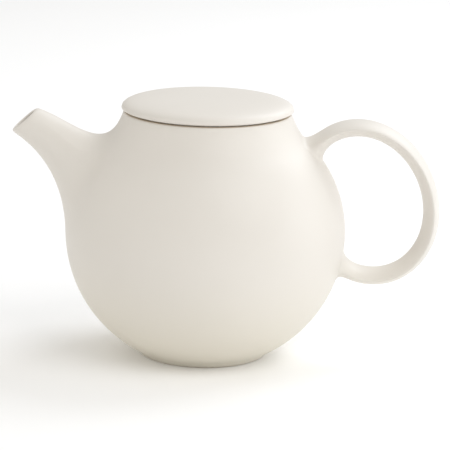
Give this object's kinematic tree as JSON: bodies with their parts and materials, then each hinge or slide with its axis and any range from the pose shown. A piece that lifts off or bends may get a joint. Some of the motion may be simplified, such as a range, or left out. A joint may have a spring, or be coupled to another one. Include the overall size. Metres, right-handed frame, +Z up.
{
  "type": "teapot with infuser",
  "caption": "Round porcelain teapot with a ring handle, an upswept spout, a low domed lid and a lift-out steel mesh infuser.",
  "frame": {"origin": "centre of the foot ring, on the surface that the teapot stands on", "axes": "+Z up, -X towards the spout, +X towards the handle, XZ the plane of symmetry"},
  "size_m": [0.1801, 0.1182, 0.1105],
  "materials": {
    "porcelain": "satin warm white glaze",
    "lid_porcelain": "satin warm white glaze",
    "pressed_steel": "pressed and brushed stainless steel",
    "woven_mesh": "fine woven stainless steel wire"
  },
  "bodies": {
    "pot": {"pot_bowl": "porcelain", "pot_shoulder": "porcelain", "spout": "porcelain", "handle": "porcelain"},
    "infuser": {"infuser_collar": "pressed_steel", "infuser_mesh_wall": "woven_mesh", "infuser_clamp_band": "pressed_steel", "infuser_base_ring": "pressed_steel", "infuser_base_mesh": "woven_mesh", "infuser_seam_strip": "pressed_steel"},
    "lid": {"lid": "lid_porcelain"}
  },
  "joints": [
    {"name": "infuser_lift", "type": "slide", "parent": "pot", "child": "infuser", "axis": [0, 0, 1], "range_m": [0, 0.1]},
    {"name": "lid_lift", "type": "slide", "parent": "infuser", "child": "lid", "axis": [0, 0, 1], "range_m": [0, 0.06]}
  ]
}
